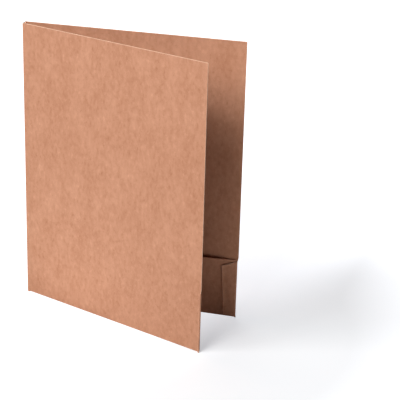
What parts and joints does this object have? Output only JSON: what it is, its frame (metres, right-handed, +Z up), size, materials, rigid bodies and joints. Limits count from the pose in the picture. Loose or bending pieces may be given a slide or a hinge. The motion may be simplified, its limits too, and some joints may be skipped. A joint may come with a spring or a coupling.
{
  "type": "two pocket folder",
  "caption": "Plain kraft board document folder with a creased spine gusset and a glued pocket along the foot of each cover, standing part open.",
  "frame": {"origin": "centre of the bounding box at the level of the lower edges that the folder stands on", "axes": "+Z up along the spine, +X along the back cover from the spine to its fore-edge, +Y out of the back cover's outside; the front cover is on the -Y side, opened by 21 degrees"},
  "size_m": [0.2414, 0.0952, 0.31],
  "materials": {
    "kraft_board": "uncoated brown kraft, matt, with fine fibres",
    "glue": "dried adhesive film, hidden under the flap"
  },
  "bodies": {
    "back_side": {"back_cover": "kraft_board", "back_pocket": "kraft_board", "back_pocket_fold": "kraft_board", "back_side_fold": "kraft_board", "back_side_flap": "kraft_board", "back_flap_glue": "glue"},
    "spine": {"spine_panel": "kraft_board", "front_crease": "kraft_board", "back_crease": "kraft_board"},
    "front_side": {"front_cover": "kraft_board", "front_pocket": "kraft_board", "front_pocket_fold": "kraft_board", "front_side_fold": "kraft_board", "front_side_flap": "kraft_board", "front_flap_glue": "glue"}
  },
  "joints": [
    {"name": "back_crease_fold", "type": "hinge", "parent": "back_side", "child": "spine", "pos_m": [-0.12028, 0.04712, 0], "axis": [0, 0, -1], "range_deg": [0, 90]},
    {"name": "front_crease_fold", "type": "hinge", "parent": "spine", "child": "front_side", "pos_m": [-0.12028, 0.03912, 0], "axis": [0, 0, -1], "range_deg": [-21, 69]}
  ]
}
